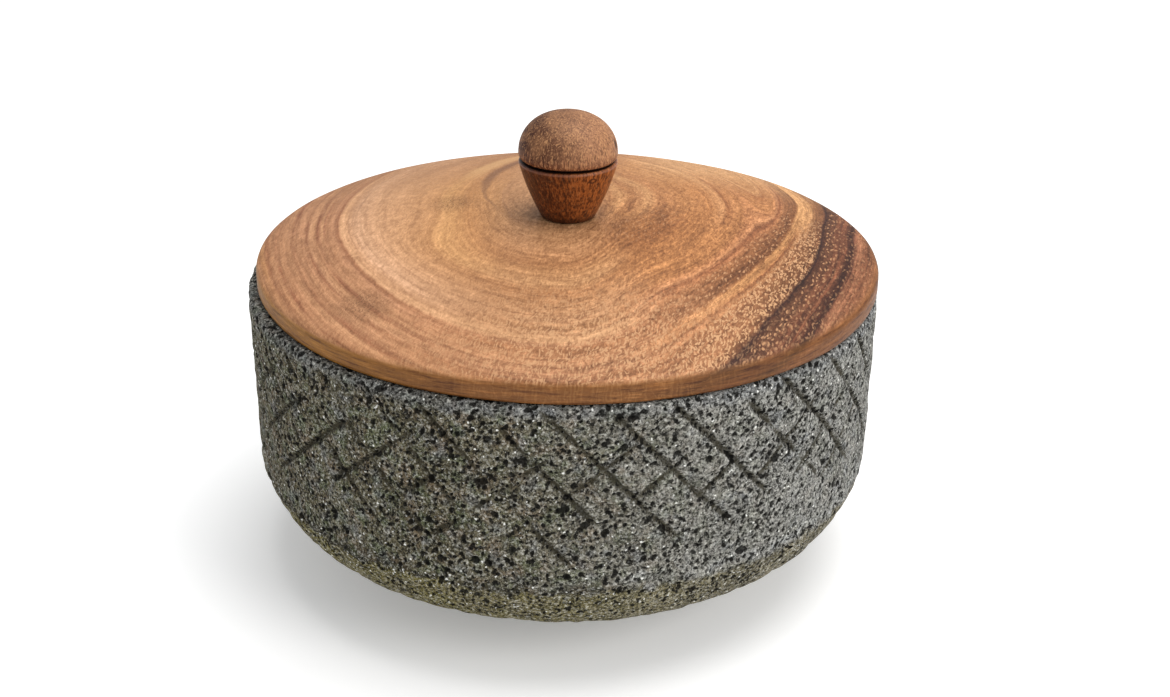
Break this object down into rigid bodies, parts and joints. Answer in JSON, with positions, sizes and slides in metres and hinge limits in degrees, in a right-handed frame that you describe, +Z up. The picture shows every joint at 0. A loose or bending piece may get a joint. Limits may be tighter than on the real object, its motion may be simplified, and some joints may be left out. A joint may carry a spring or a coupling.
{
  "type": "lidded go stone bowl",
  "caption": "Round carved volcanic-stone bowl for go stones, with a domed turned-wood lid that lifts off by a grooved wooden knob screwed on from below.",
  "frame": {"origin": "centre of the bowl's flat foot, on the table", "axes": "+Z up along the bowl's axis, +X to the right and -Y towards the viewer; the lid sits 1.2 mm to +X in its loose mouth"},
  "size_m": [0.1826, 0.1826, 0.1335],
  "materials": {
    "volcanic_stone": "matte",
    "lid_wood": "satin",
    "knob_wood": "satin",
    "screw_steel": "satin"
  },
  "bodies": {
    "bowl": {"stone_bowl": "volcanic_stone"},
    "lid": {"lid": "lid_wood", "knob": "knob_wood", "knob_screw": "screw_steel"}
  },
  "joints": [
    {"name": "lid_lift", "type": "slide", "parent": "bowl", "child": "lid", "axis": [0, 0, 1], "range_m": [0, 0.12]}
  ]
}
